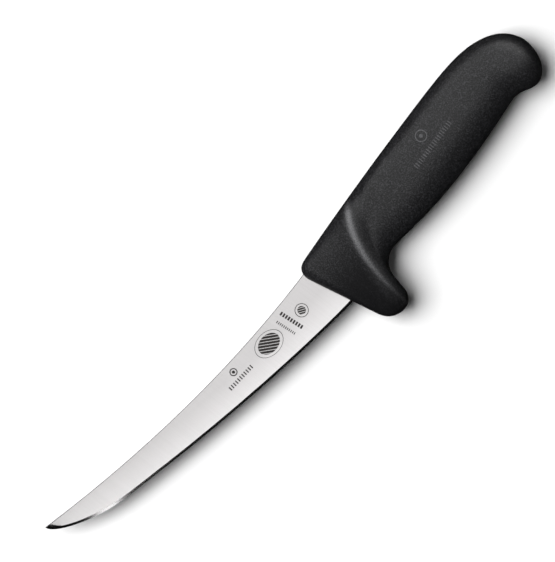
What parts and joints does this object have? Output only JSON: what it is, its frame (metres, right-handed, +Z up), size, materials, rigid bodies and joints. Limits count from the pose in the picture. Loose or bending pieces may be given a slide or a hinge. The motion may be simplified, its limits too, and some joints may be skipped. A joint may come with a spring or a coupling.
{
  "type": "boning knife",
  "caption": "Curved narrow boning knife with a moulded textured handle that has a deep finger guard and a hooked butt.",
  "frame": {"origin": "bottom centre of the knife's box, as it lies on its side", "axes": "+X from the blade to the butt of the handle, +Y from the cutting edge to the spine, +Z up through the knife's thickness"},
  "size_m": [0.2836, 0.0652, 0.0208],
  "materials": {
    "blade_steel": "stainless steel, fine satin grind, bright edge bevel",
    "core_plastic": "hard moulded polypropylene, hidden",
    "grip_plastic": "black moulded elastomer with a fine spark-eroded grain"
  },
  "bodies": {
    "root": {"blade": "blade_steel", "handle_core": "core_plastic", "handle_skin": "grip_plastic"}
  },
  "joints": []
}
